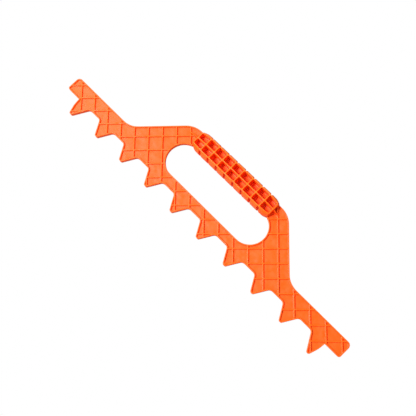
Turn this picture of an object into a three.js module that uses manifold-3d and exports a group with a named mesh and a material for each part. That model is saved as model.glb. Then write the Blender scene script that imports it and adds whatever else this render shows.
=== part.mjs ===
// Beehive frame spacing tool: a flat comb with ten teeth, an end lug at each end of its bar, and two sloping
// arms up to a waffle-cored hand grip over a hand hole. It is one plastic moulding, divided here into its
// named regions along planes square to the axes. Both faces are the same: a thin rim round each edge and a
// square grid of ribs at 45 degrees stand up from a thinner web.
// Millimetres. X runs along the bar, Y from the teeth to the grip, Z out of the front face.

import * as THREE from "three";
import * as BufferGeometryUtils from "three/addons/utils/BufferGeometryUtils.js";
import Module from "manifold-3d";

const wasm = await Module();
wasm.setup();

// Plate
const PLATE_THICKNESS = 5.5;
const WEB_THICKNESS = 1.7;
const RIM_WIDTH = 1.5;
const RIB_WIDTH = 1.5;
const GRID_PITCH = 15.4;

// Comb bar and end lugs; Y is 0 on the row of rib crossings that runs along the bar
const HALF_LENGTH = 205;
const SHOULDER_X = 186;
const BAR_TOP = 4.2;
const BAR_BOTTOM = -13.4;
const LUG_TOP_RADIUS = 4.5;
const LUG_BOTTOM_RADIUS = 2.2;

// Teeth
const TEETH_PER_HALF = 5;
const TOOTH_PITCH = 40;
const TIP_Y = -29.7;
const TIP_HALF_WIDTH = 1.6;
const TIP_RADIUS = 2.2;
const ROOT_HALF_WIDTH = 11.2;
const ROOT_RADIUS = 5;
const END_TOOTH_X = 180.3;
const END_TIP_Y = -32.1;
const END_FLANK_BEND = { x: 185.2, y: -21.5, radius: 30 };

// Arms and hand hole
const ARM_EDGE_SUM = 125.1; // x + y along the right arm's outer edge
const ARM_TOP = 55;
const ARM_FOOT_RADIUS = 23;
const ARM_TOP_RADIUS = 25;
const HOLE_RADIUS = 19.6;
const HOLE_CENTRE_X = 50.1;
const HOLE_CENTRE_Y = 18.1;

// Hand grip
const GRIP_Y = 46.5;
const GRIP_HALF_HEIGHT = 12;
const GRIP_HALF_WIDTH = 11.4;
const GRIP_RIM_HALF_WIDTH = 9.1;
const GRIP_WALL = 1.5;
const GRIP_RIB = 1.4;
const GRIP_WEB = 1.8;
const GRIP_COLUMNS = 9;
const GRIP_COLUMN_PITCH = 12.37;
const GRIP_END_TAPER = 7;
const GRIP_END_HALF_WIDTH = 9.3;
const GRIP_END_HALF_HEIGHT = 9.5;
const SLOT_WIDTH = 2.8; // upright slots across both flanks, one in line with each cross rib
const SLOT_FLOOR_HALF_WIDTH = 8.8;
const GRIP_HALF_LENGTH = (GRIP_COLUMNS * GRIP_COLUMN_PITCH + GRIP_RIB) / 2;

const ARC_STEP = Math.PI / 14;
const REACH = 500; // longer than the whole tool
const MIDDLE_Y = (GRIP_Y + GRIP_HALF_WIDTH + END_TIP_Y) / 2;

// Replaces each corner {x, y, radius} of a closed outline by a tangent arc.
function roundCorners(corners) {
  const points = [];
  corners.forEach((corner, index) => {
    const before = corners.at(index - 1);
    const after = corners[(index + 1) % corners.length];
    const here = new THREE.Vector2(corner.x, corner.y);
    if (!corner.radius) {
      points.push(here);
      return;
    }
    const arriving = here.clone().sub(before).normalize();
    const leaving = new THREE.Vector2(after.x, after.y).sub(here).normalize();
    const turn = Math.atan2(arriving.cross(leaving), arriving.dot(leaving));
    const side = Math.sign(turn);
    const tangent = corner.radius * Math.tan(Math.abs(turn) / 2);
    const centre = here.clone().addScaledVector(arriving, -tangent);
    centre.add(new THREE.Vector2(-arriving.y, arriving.x).multiplyScalar(side * corner.radius));
    const start = Math.atan2(arriving.y, arriving.x) - (side * Math.PI) / 2;
    const steps = Math.max(2, Math.ceil(Math.abs(turn) / ARC_STEP));
    for (let step = 0; step <= steps; step += 1) {
      const angle = start + (turn * step) / steps;
      const out = new THREE.Vector2(Math.cos(angle), Math.sin(angle));
      points.push(centre.clone().addScaledVector(out, corner.radius));
    }
  });
  return points;
}

// Moves every edge of a counter-clockwise outline inwards by the same distance.
function inset(points, distance) {
  return points.map((point, index) => {
    const arriving = point.clone().sub(points.at(index - 1)).normalize();
    const leaving = points[(index + 1) % points.length].clone().sub(point).normalize();
    const inward = new THREE.Vector2(-arriving.y - leaving.y, arriving.x + leaving.x).normalize();
    const stretch = -arriving.y * inward.x + arriving.x * inward.y;
    return point.clone().addScaledVector(inward, distance / stretch);
  });
}

function toSolid(geometry) {
  const bare = geometry.clone();
  bare.deleteAttribute("normal");
  bare.deleteAttribute("uv");
  const merged = BufferGeometryUtils.mergeVertices(bare, 1e-5);
  const mesh = new wasm.Mesh({
    numProp: 3,
    vertProperties: merged.attributes.position.array,
    triVerts: new Uint32Array(merged.index.array),
  });
  return new wasm.Manifold(mesh);
}

function prism(points, low, high) {
  const shape = new THREE.Shape(points);
  const geometry = new THREE.ExtrudeGeometry(shape, { depth: high - low, bevelEnabled: false });
  return toSolid(geometry.translate(0, 0, low));
}

function box(low, high) {
  const size = high.map((value, axis) => value - low[axis]);
  const middle = high.map((value, axis) => (value + low[axis]) / 2);
  return toSolid(new THREE.BoxGeometry(...size).translate(...middle));
}

// A solid with its outline in X and Z, and its width along Y.
function sidePrism(outline, halfWidth) {
  const points = outline.map(([x, z]) => new THREE.Vector2(x, z));
  return prism(points, -halfWidth, halfWidth).rotate([90, 0, 0]);
}

// Right half of the outline, from the middle valley round the lug to the top; the left half mirrors it.
function plateOutline() {
  const right = [];
  for (let tooth = 0; tooth < TEETH_PER_HALF - 1; tooth += 1) {
    const x = (tooth + 0.5) * TOOTH_PITCH;
    right.push({ x: x - ROOT_HALF_WIDTH, y: BAR_BOTTOM, radius: ROOT_RADIUS });
    right.push({ x: x - TIP_HALF_WIDTH, y: TIP_Y, radius: TIP_RADIUS });
    right.push({ x: x + TIP_HALF_WIDTH, y: TIP_Y, radius: TIP_RADIUS });
    right.push({ x: x + ROOT_HALF_WIDTH, y: BAR_BOTTOM, radius: ROOT_RADIUS });
  }
  const flankSlope = (ROOT_HALF_WIDTH - TIP_HALF_WIDTH) / (BAR_BOTTOM - TIP_Y);
  const endRoot = END_TOOTH_X - TIP_HALF_WIDTH - flankSlope * (BAR_BOTTOM - END_TIP_Y);
  right.push({ x: endRoot, y: BAR_BOTTOM, radius: ROOT_RADIUS });
  right.push({ x: END_TOOTH_X - TIP_HALF_WIDTH, y: END_TIP_Y, radius: TIP_RADIUS });
  right.push({ x: END_TOOTH_X + TIP_HALF_WIDTH, y: END_TIP_Y, radius: TIP_RADIUS });
  right.push(END_FLANK_BEND);
  right.push({ x: SHOULDER_X, y: BAR_BOTTOM, radius: 0 });
  right.push({ x: HALF_LENGTH, y: BAR_BOTTOM, radius: LUG_BOTTOM_RADIUS });
  right.push({ x: HALF_LENGTH, y: BAR_TOP, radius: LUG_TOP_RADIUS });
  right.push({ x: ARM_EDGE_SUM - BAR_TOP, y: BAR_TOP, radius: ARM_FOOT_RADIUS });
  right.push({ x: ARM_EDGE_SUM - ARM_TOP, y: ARM_TOP, radius: ARM_TOP_RADIUS });
  const left = right.map((corner) => ({ ...corner, x: -corner.x })).reverse();
  return roundCorners([...right, ...left]);
}

function holeOutline(radius) {
  const points = [];
  for (const side of [1, -1]) {
    const steps = Math.ceil(Math.PI / ARC_STEP);
    for (let step = 0; step <= steps; step += 1) {
      const angle = (-side * Math.PI) / 2 + (Math.PI * step) / steps;
      const x = side * HOLE_CENTRE_X + radius * Math.cos(angle);
      points.push(new THREE.Vector2(x, HOLE_CENTRE_Y + radius * Math.sin(angle)));
    }
  }
  return points;
}

// Where the grip's centre rib, carried on along each arm, meets a rib of the grid: the fifth one out on the
// right, and the first of the other set on the left.
const DIAGONAL = GRID_PITCH * Math.SQRT2;
const ARM_RIB_ENDS = [5 * DIAGONAL - GRIP_Y, -DIAGONAL - GRIP_Y];

// Square grid of ribs at 45 degrees, with a crossing at the origin.
function ribGrid(low, high) {
  const bars = [];
  const lines = Math.ceil(HALF_LENGTH / GRID_PITCH);
  for (const turn of [Math.PI / 4, -Math.PI / 4]) {
    for (let line = -lines; line <= lines; line += 1) {
      const bar = new THREE.BoxGeometry(REACH, RIB_WIDTH, high - low);
      bar.translate(0, line * GRID_PITCH, (low + high) / 2);
      bars.push(toSolid(bar.rotateZ(turn)));
    }
  }
  return bars.reduce((all, bar) => all.add(bar));
}

function plate() {
  const half = PLATE_THICKNESS / 2;
  const outline = plateOutline();
  const hole = prism(holeOutline(HOLE_RADIUS), -half - 1, half + 1);
  let solid = prism(outline, -half, half).subtract(hole);
  for (const [low, high] of [[WEB_THICKNESS / 2, half + 1], [-half - 1, -WEB_THICKNESS / 2]]) {
    const inside = prism(inset(outline, RIM_WIDTH), low, high);
    const holeRim = prism(holeOutline(HOLE_RADIUS + RIM_WIDTH), low - 1, high + 1);
    solid = solid.subtract(inside.subtract(holeRim).subtract(ribGrid(low - 1, high + 1)));
  }
  return solid;
}

// The carried-on rib slopes on both faces from the height of the grip's end down to the plate's.
function gusset(end) {
  const start = Math.sign(end) * GRIP_HALF_LENGTH;
  const slope = [[0, GRIP_END_HALF_HEIGHT], [start, GRIP_END_HALF_HEIGHT], [end, PLATE_THICKNESS / 2]];
  const underside = slope.map(([x, z]) => [x, -z]).reverse();
  const outline = [...slope, ...underside];
  return sidePrism(end > 0 ? outline.reverse() : outline, RIB_WIDTH / 2).translate([0, GRIP_Y, 0]);
}

// Grip: a bulged bar, narrower and lower at its two ends, with two rows of square pockets sunk into each face and
// an upright slot across each flank in line with every cross rib.
function grip() {
  const plan = [];
  for (const [side, end] of [[1, -1], [1, 1], [-1, 1], [-1, -1]]) {
    const corner = { x: end * GRIP_HALF_LENGTH, y: -side * GRIP_END_HALF_WIDTH, radius: 0 };
    const shoulder = {
      x: end * (GRIP_HALF_LENGTH - GRIP_END_TAPER),
      y: -side * GRIP_HALF_WIDTH,
      radius: GRIP_END_TAPER * 2,
    };
    plan.push(...(side * end < 0 ? [corner, shoulder] : [shoulder, corner]));
  }
  const flank = [];
  for (let step = -4; step <= 4; step += 1) {
    const rise = step / 4;
    const bulge = (GRIP_HALF_WIDTH - GRIP_RIM_HALF_WIDTH) * (1 - rise * rise);
    flank.push(new THREE.Vector2(GRIP_RIM_HALF_WIDTH + bulge, rise * GRIP_HALF_HEIGHT));
  }
  const section = [...flank, ...flank.map((point) => new THREE.Vector2(-point.x, point.y)).reverse()];
  const along = new THREE.ExtrudeGeometry(new THREE.Shape(section), {
    depth: 2 * GRIP_HALF_LENGTH,
    bevelEnabled: false,
  });
  along.translate(0, 0, -GRIP_HALF_LENGTH).rotateX(Math.PI / 2).rotateZ(Math.PI / 2);
  let solid = prism(roundCorners(plan), -GRIP_HALF_HEIGHT - 1, GRIP_HALF_HEIGHT + 1);
  solid = solid.intersect(toSolid(along));
  const lastRib = GRIP_HALF_LENGTH - GRIP_COLUMN_PITCH;
  const rise = [
    [-GRIP_HALF_LENGTH, GRIP_END_HALF_HEIGHT],
    [-lastRib, GRIP_HALF_HEIGHT],
    [lastRib, GRIP_HALF_HEIGHT],
    [GRIP_HALF_LENGTH, GRIP_END_HALF_HEIGHT],
  ];
  const sideView = [...rise, ...rise.map(([x, z]) => [x, -z]).reverse()].reverse();
  solid = solid.intersect(sidePrism(sideView, GRIP_HALF_WIDTH + 1));
  const top = GRIP_HALF_HEIGHT + 1;
  for (let column = 0; column < GRIP_COLUMNS; column += 1) {
    const x = (column - (GRIP_COLUMNS - 1) / 2) * GRIP_COLUMN_PITCH;
    const reach = (GRIP_COLUMN_PITCH - GRIP_RIB) / 2;
    for (const row of [1, -1]) {
      const edges = [(row * GRIP_RIB) / 2, row * (GRIP_RIM_HALF_WIDTH - GRIP_WALL)];
      const low = Math.min(...edges);
      const high = Math.max(...edges);
      solid = solid.subtract(box([x - reach, low, GRIP_WEB / 2], [x + reach, high, top]));
      solid = solid.subtract(box([x - reach, low, -top], [x + reach, high, -GRIP_WEB / 2]));
    }
  }
  for (let rib = 1; rib < GRIP_COLUMNS; rib += 1) {
    const x = (rib - GRIP_COLUMNS / 2) * GRIP_COLUMN_PITCH;
    for (const side of [1, -1]) {
      const edges = [side * SLOT_FLOOR_HALF_WIDTH, side * (GRIP_HALF_WIDTH + 1)];
      const low = Math.min(...edges);
      const high = Math.max(...edges);
      solid = solid.subtract(box([x - SLOT_WIDTH / 2, low, -top], [x + SLOT_WIDTH / 2, high, top]));
    }
  }
  return solid.translate([0, GRIP_Y, 0]);
}

const tool = new THREE.Group();
tool.position.y = -MIDDLE_Y;

function addNode(name, solid) {
  const mesh = solid.getMesh();
  const geometry = new THREE.BufferGeometry();
  geometry.setAttribute("position", new THREE.BufferAttribute(mesh.vertProperties, 3));
  geometry.setIndex(new THREE.BufferAttribute(mesh.triVerts, 1));
  geometry.computeVertexNormals();
  const plastic = new THREE.MeshStandardMaterial({ color: 0xf4591c, roughness: 0.42, metalness: 0 });
  const node = new THREE.Mesh(geometry, plastic);
  node.name = name;
  tool.add(node);
}

// Cuts one region out of the plate: everything between two corners in X and Y.
function region(solid, lowX, highX, lowY, highY) {
  return solid.intersect(box([lowX, lowY, -REACH], [highX, highY, REACH]));
}

const body = ARM_RIB_ENDS.reduce((solid, end) => solid.add(gusset(end)), plate());
addNode("left_lug", region(body, -REACH, -SHOULDER_X, -REACH, REACH));
addNode("right_lug", region(body, SHOULDER_X, REACH, -REACH, REACH));
addNode("comb_bar", region(body, -SHOULDER_X, SHOULDER_X, BAR_BOTTOM, BAR_TOP));
for (let tooth = 0; tooth < 2 * TEETH_PER_HALF; tooth += 1) {
  const low = Math.max((tooth - TEETH_PER_HALF) * TOOTH_PITCH, -SHOULDER_X);
  const high = Math.min((tooth + 1 - TEETH_PER_HALF) * TOOTH_PITCH, SHOULDER_X);
  const number = String(tooth + 1).padStart(2, "0");
  addNode(`tooth_${number}`, region(body, tooth ? low : -SHOULDER_X, high, -REACH, BAR_BOTTOM));
}
addNode("left_arm", region(body, -SHOULDER_X, -GRIP_HALF_LENGTH, BAR_TOP, REACH));
addNode("right_arm", region(body, GRIP_HALF_LENGTH, SHOULDER_X, BAR_TOP, REACH));
addNode("hand_grip", grip());

export default tool;
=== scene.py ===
import math

import bmesh
import bpy
import numpy as np
from mathutils import Matrix, Vector
from mathutils.geometry import delaunay_2d_cdt


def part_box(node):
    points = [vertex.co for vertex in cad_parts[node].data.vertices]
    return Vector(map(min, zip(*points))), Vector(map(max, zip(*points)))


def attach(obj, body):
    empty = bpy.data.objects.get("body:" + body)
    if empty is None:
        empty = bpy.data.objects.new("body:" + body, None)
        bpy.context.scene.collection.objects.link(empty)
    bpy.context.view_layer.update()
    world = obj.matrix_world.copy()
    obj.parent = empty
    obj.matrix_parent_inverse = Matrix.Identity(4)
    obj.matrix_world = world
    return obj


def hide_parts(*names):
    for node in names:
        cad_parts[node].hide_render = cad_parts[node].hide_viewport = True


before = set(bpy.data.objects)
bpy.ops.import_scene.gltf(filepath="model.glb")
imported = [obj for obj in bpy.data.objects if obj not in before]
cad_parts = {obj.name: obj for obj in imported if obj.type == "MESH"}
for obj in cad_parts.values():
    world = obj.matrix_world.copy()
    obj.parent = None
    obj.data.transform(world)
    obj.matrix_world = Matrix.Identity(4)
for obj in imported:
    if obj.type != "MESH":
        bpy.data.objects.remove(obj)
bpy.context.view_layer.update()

# --- The plan of the moulding ---------------------------------------------------------------------------
# One shot of orange plastic fills a flat two-part mould. In plan the tool is a straight bar with ten pointed
# teeth and an end lug past the last tooth at each end, and two arms at 45 degrees that carry the hand grip
# over a long round-ended finger hole. Every corner is an arc, as the mould's cutter left it.

MM = 0.001
bar_low, bar_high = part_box("comb_bar")
grip_low, grip_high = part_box("hand_grip")
top_face = bar_high.z
bar_bottom, bar_top = bar_low.y, bar_high.y
shoulder_x = bar_high.x
lug_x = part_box("right_lug")[1].x
arm_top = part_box("right_arm")[1].y
inner_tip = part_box("tooth_05")[0].y
end_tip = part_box("tooth_10")[0].y
tooth_pitch = 2 * np.mean([corner.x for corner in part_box("tooth_06")])
grip_y = (grip_low.y + grip_high.y) / 2
grid_y = bar_top - 4.2 * MM  # the row of rib crossings that runs along the bar

arm_foot_arc = 23 * MM
root_half, root_arc = 11.2 * MM, 5 * MM
tip_half, tip_arc = 1.6 * MM, 2.2 * MM
end_tooth_x = 180.3 * MM
flank_slope = (root_half - tip_half) / (bar_bottom - inner_tip)
end_root_x = end_tooth_x - tip_half - flank_slope * (bar_bottom - end_tip)
arm_edge = 125.1 * MM + grid_y  # x + y along the right arm's outer edge
hole_x, hole_y, hole_arc = 50.1 * MM, 18.1 * MM + grid_y, 19.6 * MM


def outline(corners, inset, steps=8):
    """Closed anticlockwise outline through the corners (x, y, radius), moved inwards by inset. Each corner is
    the arc tangent to its two edges; its centre stands one radius off both. Moving the outline inwards takes
    inset off the radius of a corner that points out, and adds it to one that points in."""
    points, radius = corners[:, :2], corners[:, 2:]
    arriving = points - np.roll(points, 1, axis=0)
    arriving /= np.linalg.norm(arriving, axis=1, keepdims=True)
    leaving = np.roll(arriving, -1, axis=0)
    cross = arriving[:, 0] * leaving[:, 1] - arriving[:, 1] * leaving[:, 0]
    turn = np.arctan2(cross, (arriving * leaving).sum(axis=1))[:, None]
    side = np.sign(turn)
    to_centre = side * np.stack([-arriving[:, 1], arriving[:, 0]], axis=1)
    centre = points - arriving * radius * np.tan(np.abs(turn) / 2) + to_centre * radius
    angle = np.arctan2(-to_centre[:, 1:], -to_centre[:, :1]) + turn * np.linspace(0, 1, steps + 1)
    ray = np.stack([np.cos(angle), np.sin(angle)], axis=2)
    return (centre[:, None] + ray * (radius - side * inset)[:, None]).reshape(-1, 2)


def finger_hole(inset, steps=24):
    """The round-ended hole, with inset added to its end radius."""
    angle = np.linspace(-math.pi / 2, math.pi / 2, steps + 1)
    end = np.stack([hole_x + (hole_arc + inset) * np.cos(angle), (hole_arc + inset) * np.sin(angle)], axis=1)
    return np.concatenate([end, -end]) + [0, hole_y]


one_tooth = np.array([
    [-root_half, bar_bottom, root_arc],
    [-tip_half, inner_tip, tip_arc],
    [tip_half, inner_tip, tip_arc],
    [root_half, bar_bottom, root_arc],
])
inner_teeth = np.concatenate([one_tooth + [(place + 0.5) * tooth_pitch, 0, 0] for place in range(4)])
end_of_tool = np.array([
    [end_root_x, bar_bottom, root_arc],
    [end_tooth_x - tip_half, end_tip, tip_arc],
    [end_tooth_x + tip_half, end_tip, tip_arc],
    [end_tooth_x + 4.9 * MM, end_tip + 10.6 * MM, 30 * MM],
    [shoulder_x, bar_bottom, 0.8 * MM],
    [lug_x, bar_bottom, 2.2 * MM],
    [lug_x, bar_top, 4.5 * MM],
    [arm_edge - bar_top, bar_top, arm_foot_arc],
    [arm_edge - arm_top, arm_top, 25 * MM],
])
right_half = np.concatenate([inner_teeth, end_of_tool])
plan = np.concatenate([right_half, right_half[::-1] * [-1, 1, 1]])

# --- Rims and ribs of the plate -------------------------------------------------------------------------
# A thin web is stiffened on both faces by a rim round every edge and a square grid of low ribs at 45 degrees
# to the bar, rounded at the top, filleted at the foot, and leaning a little so that the part leaves the
# mould. The rib that carries the grip's centre rib on to each arm is higher, and slopes down from the grip.

web_face = 0.85 * MM
round_over = 0.5 * MM
rim_flat = 0.9 * MM  # from the edge to where the rim's inner side starts to round over
rib_flat = 0.4 * MM
grid_pitch = 15.4 * MM
arm_rib_ends = np.array([-1, 5]) * grid_pitch * math.sqrt(2) - (grip_y - grid_y)
grip_end_top = grip_high.z - 2.5 * MM


def wall_side(top, floor, arc, lean, fillet):
    """Distance out from a wall's flat top, and height, down one side of the wall: a quarter arc, a leaning
    face and a hollow quarter arc into the floor."""
    crest, foot = np.radians([0, 30, 60, 90]), np.radians([0, 45, 90])
    away = np.concatenate([arc * np.sin(crest), arc + lean + fillet * (1 - np.cos(foot))])
    height = np.concatenate([top - arc * (1 - np.cos(crest)), floor + fillet * (1 - np.sin(foot))])
    return away, height


rib_away, rib_height = wall_side(top_face, web_face, round_over, lean=0.1 * MM, fillet=0.3 * MM)
edge_round = round_over * (1 - np.cos(np.radians([0, 30, 60, 90])))
rim_steps = np.concatenate([edge_round, rim_flat + rib_away])


def distance_to(points, loop):
    """Least distance from each point to the closed polyline."""
    start, along = loop, np.roll(loop, -1, axis=0) - loop
    length = (along**2).sum(axis=1)
    least = []
    for some in np.array_split(points, 1 + len(points) // 2000):
        offset = some[:, None] - start
        share = np.clip((offset * along).sum(axis=2) / length, 0, 1)
        least.append(np.linalg.norm(offset - share[:, :, None] * along, axis=2).min(axis=1))
    return np.concatenate(least)


def inside(points, loop):
    """Whether each point is inside the closed polyline: a ray to the right crosses it an odd number of
    times."""
    ahead = np.roll(loop, -1, axis=0)
    answer = []
    for some in np.array_split(points, 1 + len(points) // 4000):
        x, y = some[:, :1], some[:, 1:]
        straddles = (loop[:, 1] > y) != (ahead[:, 1] > y)
        rise = np.where(ahead[:, 1] == loop[:, 1], 1, ahead[:, 1] - loop[:, 1])
        crossing = loop[:, 0] + (y - loop[:, 1]) * (ahead[:, 0] - loop[:, 0]) / rise
        answer.append((straddles & (crossing > x)).sum(axis=1) % 2 == 1)
    return np.concatenate(answer)


def plate_height(points):
    """Height of the front face: the top of whichever rim or rib is nearest, falling off down its side to the
    web, and rounding over at the outer edge and the hole's edge. The arm ribs have the same section, drawn up
    to a crest that falls evenly from the end of the grip."""
    from_hole = np.hypot(np.clip(np.abs(points[:, 0]) - hole_x, 0, None), points[:, 1] - hole_y) - hole_arc
    edge = np.minimum(distance_to(points, outline(plan, 0)), np.abs(from_hole))
    across = (points - [0, grid_y]) @ np.array([[1, 1], [1, -1]]) / math.sqrt(2)
    to_line = np.abs(across - grid_pitch * np.round(across / grid_pitch)).min(axis=1)
    height = np.interp(np.minimum(edge - rim_flat, to_line - rib_flat / 2), rib_away, rib_height)
    end = np.where(points[:, 0] < 0, -arm_rib_ends[0], arm_rib_ends[1])
    share = (end - np.abs(points[:, 0])) / (end - grip_high.x)
    crest = top_face + (grip_end_top - top_face) * np.clip(share, 0, 1)
    to_arm_rib = np.where(share < 0, grid_pitch, np.abs(points[:, 1] - grip_y))
    arm_rib = np.interp(to_arm_rib - rib_flat / 2, rib_away, rib_height)
    arm_rib = web_face + (arm_rib - web_face) * (crest - web_face) / (top_face - web_face)
    dip = round_over - np.clip(edge, 0, round_over)
    height = np.minimum(height, top_face - round_over + np.sqrt(round_over**2 - dip**2))
    return np.maximum(height, arm_rib)


def chords(direction, offsets, loops):
    """The stretches, inside the loops, of the lines at those offsets from the origin square to direction.
    Each line's crossings with the loops, sorted along it, pair up into stretches."""
    along = np.array([-direction[1], direction[0]])
    start = np.concatenate(loops)
    end = np.concatenate([np.roll(loop, -1, axis=0) for loop in loops])
    p, q = start @ direction - offsets[:, None], end @ direction - offsets[:, None]
    line, edge = np.nonzero((p < 0) != (q < 0))
    share = p[line, edge] / (p[line, edge] - q[line, edge])
    place = (start[edge] + share[:, None] * (end[edge] - start[edge])) @ along
    order = np.lexsort([place, line])
    return offsets[line[order], None] * direction + place[order, None] * along


def lay_out(loops, segments):
    """Triangulates closed loops and loose segments (rows in pairs) so that each is kept as edges. Returns the
    points, the triangles and, for each point, the first input point that it came from, or -1."""
    points = np.concatenate([*loops, segments])
    start = np.cumsum([0] + [len(loop) for loop in loops])
    edges = []
    for loop, first in zip(loops, start):
        index = np.arange(len(loop))
        edges += (np.stack([index, np.roll(index, -1)], axis=1) + first).tolist()
    edges += (np.arange(len(segments)).reshape(-1, 2) + start[-1]).tolist()
    found = delaunay_2d_cdt([Vector(point) for point in points], edges, [], 0, 2e-8)
    came_from = np.array([sources[0] if sources else -1 for sources in found[3]])
    return np.array([tuple(point) for point in found[0]]), np.array(found[2]), came_from


rim_middle = rim_flat * 0.6
rib_offsets = np.concatenate([rib_flat / 2 + rib_away, -rib_flat / 2 - rib_away])
reach = math.ceil(lug_x / grid_pitch)
lines = (np.arange(-reach, reach + 1)[:, None] * grid_pitch + rib_offsets).ravel()
stops = [outline(plan, rim_middle), finger_hole(rim_middle)]
segments = []
for direction in (np.array([1, 1]) / math.sqrt(2), np.array([1, -1]) / math.sqrt(2)):
    segments.append(chords(direction, lines + np.array([0, grid_y]) @ direction, stops))
for end in arm_rib_ends:
    start_x = np.full(len(rib_offsets), math.copysign(grip_high.x, end))
    start = np.column_stack([start_x, grip_y + rib_offsets])
    stop = start * [0, 1] + [end, 0]
    segments.append(np.stack([start, stop], axis=1).reshape(-1, 2))

# --- The regions of the moulding ------------------------------------------------------------------------
# Nothing joins the regions: they are one run of plastic. Each is cut out along planes square to the axes, so
# that its faces meet its neighbours' exactly, and is closed by a wall along its own boundary.

root_foot = root_arc * math.tan(math.atan(1 / flank_slope) / 2)
root_ends = (np.arange(-5, 5)[:, None] + 0.5) * tooth_pitch + [-root_half - root_foot, root_half + root_foot]
root_ends[0] = -shoulder_x, root_foot - end_root_x
root_ends[-1] = end_root_x - root_foot, shoulder_x
foot_x = arm_edge - bar_top + arm_foot_arc * math.tan(math.pi / 8)
level_cuts = np.concatenate([
    np.insert(root_ends.reshape(-1, 1), 1, bar_bottom, axis=1),
    [[-foot_x, bar_top], [foot_x, bar_top]],
])
upright_cuts = np.array([
    [-shoulder_x, bar_bottom - 30 * MM], [-shoulder_x, bar_top + 30 * MM],
    [shoulder_x, bar_bottom - 30 * MM], [shoulder_x, bar_top + 30 * MM],
    [-grip_high.x, hole_y], [-grip_high.x, arm_top + 30 * MM],
    [grip_high.x, hole_y], [grip_high.x, arm_top + 30 * MM],
])
loops = [outline(plan, step) for step in rim_steps] + [finger_hole(step) for step in rim_steps]
points, triangles, _ = lay_out(loops, np.concatenate([*segments, level_cuts, upright_cuts]))
centres = points[triangles].mean(axis=1)
solid = inside(centres, loops[0]) & ~inside(centres, finger_hole(0))
height = plate_height(points)


def closed_piece(name, plan_points, faces, heights, nodes):
    """A closed piece the same on both faces: the triangles at plus the heights, the same turned over at minus
    them, and an upright wall along each edge that only one triangle has."""
    used, index = np.unique(faces, return_inverse=True)
    index = index.reshape(-1, 3)
    count = len(used)
    front = np.column_stack([plan_points[used], heights[used]])
    edges = index[:, [0, 1, 1, 2, 2, 0]].reshape(-1, 2)
    shared = np.isin(edges @ [count, 1], edges @ [1, count])
    side = edges[~shared]
    walls = np.column_stack([side + count, side[:, ::-1]])
    mesh = bpy.data.meshes.new(name)
    mesh.from_pydata(
        np.concatenate([front, front * [1, 1, -1]]).tolist(), [],
        index.tolist() + (index[:, ::-1] + count).tolist() + walls.tolist(),
    )
    return finish_piece(name, mesh, nodes)


def finish_piece(name, mesh, nodes):
    """Makes the mesh a smooth-shaded piece whose flats stay flat, riding on the one body."""
    mesh.shade_smooth()
    mesh.set_sharp_from_angle(angle=math.radians(38))
    piece = bpy.data.objects.new(name, mesh)
    bpy.context.collection.objects.link(piece)
    even = piece.modifiers.new("Even shading", "WEIGHTED_NORMAL")
    even.keep_sharp = True
    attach(piece, "root")
    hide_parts(*nodes)
    return piece


x, y = centres.T
regions = {
    "left_lug": x < -shoulder_x,
    "right_lug": x > shoulder_x,
    "comb_bar": (np.abs(x) < shoulder_x) & (y > bar_bottom) & (y < bar_top),
    "left_arm": (x < -grip_high.x) & (x > -shoulder_x) & (y > bar_top),
    "right_arm": (x > grip_high.x) & (x < shoulder_x) & (y > bar_top),
}
nearest_tooth = np.clip(np.floor(x / tooth_pitch), -5, 4) + 6
for number in range(1, 11):
    regions[f"tooth_{number:02d}"] = (np.abs(x) < shoulder_x) & (y < bar_bottom) & (nearest_tooth == number)
plate_pieces = [
    closed_piece(f"moulded_{node}", points, triangles[solid & region], height, [node])
    for node, region in regions.items()
]

# --- The hand grip --------------------------------------------------------------------------------------
# A barrel for the fingers, cored out from both faces by two rows of square pockets. Its flanks swell from the
# rims to the middle, where the mould halves meet, and an upright slot crosses them at each cross rib. It
# narrows and drops over its two end cells. Centre rib, cross ribs and rims are otherwise of one height.

grip_x, grip_top = grip_high.x, grip_high.z
widest = (grip_high.y - grip_low.y) / 2
rim_half = 9.1 * MM
rim_half_at_end = 7.7 * MM
end_half = 8.9 * MM
end_drop = grip_top - grip_end_top
swell_length = 7 * MM
columns = 9
column_pitch = 12.37 * MM
corner_arc = 2.0 * MM
slot_half, slot_lip = 1.5 * MM, 0.12 * MM
slot_depth = 0.5 * MM  # inside the rim's outer face, at the mid-plane


def end_share(x):
    """0 as far as the last cross rib, rising evenly to 1 at the end of the grip."""
    return np.clip((np.abs(x) - grip_x + column_pitch) / column_pitch, 0, 1)


def rim_width(x):
    """Half the width over the rims, narrowing evenly over the end cells."""
    return rim_half - (rim_half - rim_half_at_end) * end_share(x)


def swell(x):
    """How far the flank stands out from the rim at the mid-plane: full along the barrel, and down to the
    width of the arm over the last few millimetres, along a quarter sine."""
    share = np.sin(np.clip((grip_x - np.abs(x)) / swell_length, 0, 1) * math.pi / 2)
    return end_half + (widest - end_half) * share - rim_width(x)


rib_x = (np.arange(1, columns) - columns / 2) * column_pitch
slot_sides = np.array([-slot_half - slot_lip, -slot_half, slot_half, slot_half + slot_lip])
straight = np.linspace(corner_arc - grip_x, grip_x - corner_arc, 97)
straight = np.unique(np.concatenate([straight, (rib_x[:, None] + slot_sides).ravel()]))
bend = np.linspace(0, math.pi / 2, 7)[1:-1]
corner_y = rim_width(grip_x - corner_arc) - corner_arc
end_y = np.linspace(-corner_y, corner_y, 7)

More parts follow.
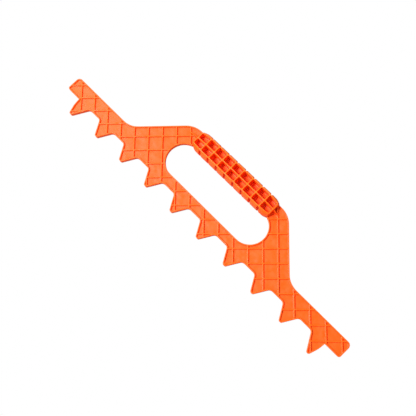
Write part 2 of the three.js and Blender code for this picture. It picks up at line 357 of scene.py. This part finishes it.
# Half of the rim's outer edge, anticlockwise: inner flank, corner, end and corner. Half a turn gives the
# rest.
half_edge = np.concatenate([
    np.column_stack([straight, -rim_width(straight)]),
    np.column_stack([np.sin(bend), -np.cos(bend)]) * corner_arc + [grip_x - corner_arc, -corner_y],
    np.column_stack([np.full_like(end_y, grip_x), end_y]),
    np.column_stack([np.cos(bend), np.sin(bend)]) * corner_arc + [grip_x - corner_arc, corner_y],
])
half_outward = np.concatenate([
    np.tile([0.0, -1.0], (len(straight), 1)),
    np.column_stack([np.sin(bend), -np.cos(bend)]),
    np.tile([1.0, 0.0], (len(end_y), 1)),
    np.column_stack([np.cos(bend), np.sin(bend)]),
])
rim_edge = np.concatenate([half_edge, -half_edge])
outward = np.concatenate([half_outward, -half_outward])

# The side wall, as a surface of the place along the edge and of a row from the back rim to the front rim.
grip_round = 0.4 * MM
rise = np.concatenate([np.linspace(0, 1, 11), [1, 1, 1]])
arc = np.concatenate([np.zeros(len(rise) - 3), np.radians([30, 60, 90])])
rise, arc = np.concatenate([-rise[:0:-1], rise]), np.concatenate([-arc[:0:-1], arc])
crown = grip_top - end_drop * end_share(rim_edge[:, 0])
wall_z = rise[:, None] * (crown - grip_round) + grip_round * np.sin(arc)[:, None]
full = 1 - np.abs(rise[:, None]) ** np.where(outward[:, 1] > 0, 3, 2)  # the outer flank is the fuller
from_rib = np.abs(rim_edge[:, 0] - rib_x[:, None]).min(axis=0)
in_slot = (from_rib < slot_half + slot_lip / 2) & (outward[:, 0] == 0)
stands_out = np.where(in_slot, -slot_depth, swell(rim_edge[:, 0])) * np.abs(outward[:, 1]) * full
stands_out = stands_out - grip_round * (1 - np.cos(arc))[:, None]
wall_xy = rim_edge + outward * stands_out[:, :, None]
grip_wall = np.concatenate([wall_xy, wall_z[:, :, None]], axis=2)
rows, around = wall_z.shape
here = np.arange(rows * around).reshape(rows, around)
ahead = np.roll(here, -1, axis=1)
wall_faces = np.stack([here[:-1], ahead[:-1], ahead[1:], here[1:]], axis=2).reshape(-1, 4)

# The front face: flat rims and ribs round the pockets, and each pocket's side and floor.
pocket_floor = 0.9 * MM
pocket_away, pocket_height = wall_side(grip_top, pocket_floor, arc=0.3 * MM, lean=0.25 * MM, fillet=0.6 * MM)
pocket_arc = 1.6 * MM
grip_rib_flat, grip_rim_flat = 0.4 * MM, 0.8 * MM
face_loops, face_heights = [wall_xy[-1]], [wall_z[-1]]
for column in range(columns):
    middle_x = (column - (columns - 1) / 2) * column_pitch
    side_x = middle_x + np.array([-1, 1]) * (column_pitch - grip_rib_flat) / 2
    outer_y = rim_width(side_x) - grip_rim_flat
    for row in (-1, 1):
        inner_y = np.full(2, grip_rib_flat / 2)
        low_y, high_y = (-outer_y, -inner_y) if row < 0 else (inner_y, outer_y)
        corners = np.column_stack([
            [*side_x, *side_x[::-1]], [*low_y, *high_y[::-1]], np.full(4, pocket_arc),
        ])
        for away, level in zip(pocket_away, pocket_height):
            loop = outline(corners, away, steps=5)
            drop = end_drop * end_share(loop[:, 0]) if level > grip_top / 2 else 0 * loop[:, 0]
            face_loops.append(loop)
            face_heights.append(level - drop)  # the tops drop over the end cells, and the floors stay level
face_xy, face_triangles, source = lay_out(face_loops, np.zeros((0, 2)))
two_sides = face_xy[face_triangles[:, 1:]] - face_xy[face_triangles[:, :1]]
area = (two_sides[:, 0, 0] * two_sides[:, 1, 1] - two_sides[:, 0, 1] * two_sides[:, 1, 0]) / 2
face_triangles = face_triangles[area > (0.01 * MM) ** 2]  # without the flat slivers along the straight edges
grip_face = np.column_stack([face_xy, np.concatenate(face_heights)[source]])

count, more = rows * around, len(grip_face)
grip_mesh = bpy.data.meshes.new("moulded_hand_grip")
grip_points = np.concatenate([grip_wall.reshape(-1, 3), grip_face, grip_face * [1, 1, -1]])
grip_mesh.from_pydata(
    (grip_points + [0, grip_y, 0]).tolist(), [],
    wall_faces.tolist() + (face_triangles + count).tolist()
    + (face_triangles[:, ::-1] + count + more).tolist(),
)
whole = bmesh.new()
whole.from_mesh(grip_mesh)
bmesh.ops.remove_doubles(whole, verts=whole.verts, dist=0.001 * MM)
whole.to_mesh(grip_mesh)
whole.free()
hand_grip = finish_piece("moulded_hand_grip", grip_mesh, ["hand_grip"])

# --- The plastic ----------------------------------------------------------------------------------------
# Orange polypropylene, coloured in the mass. The mould is spark-eroded to a fine satin, and handling polishes
# the rib tops smoother. Raised parts carry a painted highlight: the higher a point stands, the lighter its
# orange.

plastic = bpy.data.materials.new("Moulded orange plastic")
plastic.use_nodes = True
nodes, links = plastic.node_tree.nodes, plastic.node_tree.links
shader = nodes["Principled BSDF"]


def add(kind, **settings):
    """Adds a node to the plastic. A setting in capitals is a property; any other names an input's socket."""
    made = nodes.new(kind)
    for name, value in settings.items():
        if name.isupper():
            setattr(made, name.lower(), value)
        elif isinstance(value, bpy.types.NodeSocket):
            links.new(value, made.inputs[name.replace("_", " ")])
        else:
            made.inputs[name.replace("_", " ")].default_value = value
    return made


spot = add("ShaderNodeTexCoord").outputs["Object"]
raised = add("ShaderNodeAttribute", ATTRIBUTE_NAME="relief").outputs["Fac"]
flow = add("ShaderNodeTexNoise", Vector=spot, Scale=18, Detail=3, Roughness=0.55).outputs["Fac"]
mottle = add("ShaderNodeTexNoise", Vector=spot, Scale=160, Detail=4, Roughness=0.6).outputs["Fac"]
grain = add("ShaderNodeTexNoise", Vector=spot, Scale=2200, Detail=2, Roughness=0.6).outputs["Fac"]
waves = add("ShaderNodeTexNoise", Vector=spot, Scale=110, Detail=1, Roughness=0.4).outputs["Fac"]

colour = add("ShaderNodeMix", DATA_TYPE="RGBA", Factor=flow)
colour.inputs["A"].default_value = (0.91, 0.088, 0.003, 1)
colour.inputs["B"].default_value = (0.96, 0.104, 0.004, 1)
speckle = add("ShaderNodeMapRange", Value=mottle, From_Min=0.3, From_Max=0.7, To_Min=0.93, To_Max=1.05)
shaded = add("ShaderNodeMix", DATA_TYPE="RGBA", BLEND_TYPE="MULTIPLY", Factor=1.0)
links.new(colour.outputs["Result"], shaded.inputs["A"])
links.new(speckle.outputs["Result"], shaded.inputs["B"])
# Painted highlight: the colour is mixed towards a lighter orange as the relief rises, on rib tops, rims and
# the grip's crests.
highlight_share = add("ShaderNodeMath", OPERATION="MULTIPLY")
links.new(raised, highlight_share.inputs[0])
highlight_share.inputs[1].default_value = 0.5
painted_highlight = add("ShaderNodeMix", DATA_TYPE="RGBA")
links.new(highlight_share.outputs[0], painted_highlight.inputs["Factor"])
links.new(shaded.outputs["Result"], painted_highlight.inputs["A"])
painted_highlight.inputs["B"].default_value = (1.0, 0.20, 0.012, 1)
links.new(painted_highlight.outputs["Result"], shader.inputs["Base Color"])

satin = add("ShaderNodeMapRange", Value=mottle, From_Min=0.3, From_Max=0.7, To_Min=0.28, To_Max=0.5)
smoother = add("ShaderNodeMath", OPERATION="MULTIPLY_ADD")
links.new(raised, smoother.inputs[0])
smoother.inputs[1].default_value = -0.07
links.new(satin.outputs["Result"], smoother.inputs[2])
links.new(smoother.outputs[0], shader.inputs["Roughness"])

sink = add("ShaderNodeBump", Strength=1, Distance=0.6 * MM, Height=waves)
surface = add("ShaderNodeBump", Strength=0.3, Distance=0.05 * MM, Height=grain, Normal=sink.outputs["Normal"])
links.new(surface.outputs["Normal"], shader.inputs["Normal"])
shader.inputs["IOR"].default_value = 1.49
shader.inputs["Specular IOR Level"].default_value = 0.25

# relief is how high each point stands above the web. It sets the painted highlight on raised parts, weaker on
# the plate, and their smoother finish.
for piece in [*plate_pieces, hand_grip]:
    mesh = piece.data
    mesh.materials.append(plastic)
    z = np.empty(3 * len(mesh.vertices))
    mesh.vertices.foreach_get("co", z)
    crest, share = (grip_top, 1.0) if piece is hand_grip else (top_face, 0.3)
    height = (np.abs(z[2::3]) - web_face) / (crest - web_face)
    relief = mesh.attributes.new("relief", "FLOAT", "POINT")
    relief.data.foreach_set("value", share * np.clip(height, 0, 1) ** 1.5)

# --- The studio -----------------------------------------------------------------------------------------
# A pale floor and backdrop that the camera sees evenly bright, a soft key light high on the side of the left
# lug, a weaker one farther round that puts a haze on that end, and warm even light. The camera looks down on
# the front face with the comb running from upper left to lower right.

scene = bpy.context.scene
scene.view_settings.view_transform = "Standard"


def show_white(tree, real, white, output):
    """Shows the camera the white shader, while every other ray meets the real one."""
    seen = tree.nodes.new("ShaderNodeLightPath")
    both = tree.nodes.new("ShaderNodeMixShader")
    tree.links.new(seen.outputs["Is Camera Ray"], both.inputs["Fac"])
    tree.links.new(real.outputs[0], both.inputs[1])
    tree.links.new(white.outputs[0], both.inputs[2])
    tree.links.new(both.outputs["Shader"], tree.nodes[output].inputs["Surface"])


floor_mesh = bpy.data.meshes.new("studio_floor")
half_floor, floor_z = 4.0, grip_low.z - 0.2 * MM
floor_mesh.from_pydata(
    [(-half_floor, -half_floor, floor_z), (half_floor, -half_floor, floor_z),
     (half_floor, half_floor, floor_z), (-half_floor, half_floor, floor_z)], [], [(0, 1, 2, 3)],
)
floor = bpy.data.objects.new("studio_floor", floor_mesh)
scene.collection.objects.link(floor)
pale = bpy.data.materials.new("Pale floor")
pale.use_nodes = True
pale_paint = pale.node_tree.nodes["Principled BSDF"]
pale_paint.inputs["Base Color"].default_value = (0.4, 0.33, 0.25, 1)
pale_paint.inputs["Roughness"].default_value = 0.9
show_white(pale.node_tree, pale_paint, pale.node_tree.nodes.new("ShaderNodeEmission"), "Material Output")
floor_mesh.materials.append(pale)

world = bpy.data.worlds.new("Even light")
scene.world = world
world.use_nodes = True
warm = world.node_tree.nodes["Background"]
warm.inputs["Color"].default_value = (1.0, 0.82, 0.65, 1)
warm.inputs["Strength"].default_value = 0.55
backdrop = world.node_tree.nodes.new("ShaderNodeBackground")
backdrop.inputs["Color"].default_value = (1, 1, 1, 1)
show_white(world.node_tree, warm, backdrop, "World Output")


def aim(thing, place, target, up):
    """Puts a lamp or camera at place, looking at target, with up towards the top of its picture."""
    back = (place - target).normalized()
    right = up.cross(back).normalized()
    turn = Matrix([right, back.cross(right), back]).transposed()
    thing.matrix_world = Matrix.Translation(place) @ turn.to_4x4()


def soft_lamp(name, place, size, power):
    """Adds a round soft lamp of that diameter at place, aimed at the middle of the tool."""
    lamp = bpy.data.lights.new(name, "AREA")
    lamp.shape, lamp.size, lamp.energy = "DISK", size, power
    holder = bpy.data.objects.new(name, lamp)
    scene.collection.objects.link(holder)
    aim(holder, Vector(place), Vector((0, 0, 0)), Vector((0, 1, 0)))


soft_lamp("key_light", (-0.38, -0.36, 1.0), 0.3, 17.0)
soft_lamp("side_light", (-0.82, 0.08, 1.0), 0.4, 4.5)

camera = bpy.data.objects.new("camera", bpy.data.cameras.new("camera"))
scene.collection.objects.link(camera)
camera.data.lens, camera.data.sensor_width, camera.data.clip_start = 58.4, 36, 0.01
eye, target = Vector((0.170, -0.0837, 0.684)), Vector((0.0057, -0.0121, top_face))
aim(camera, eye, target, Vector((-0.683, 0.691, 0.237)))
scene.camera = camera
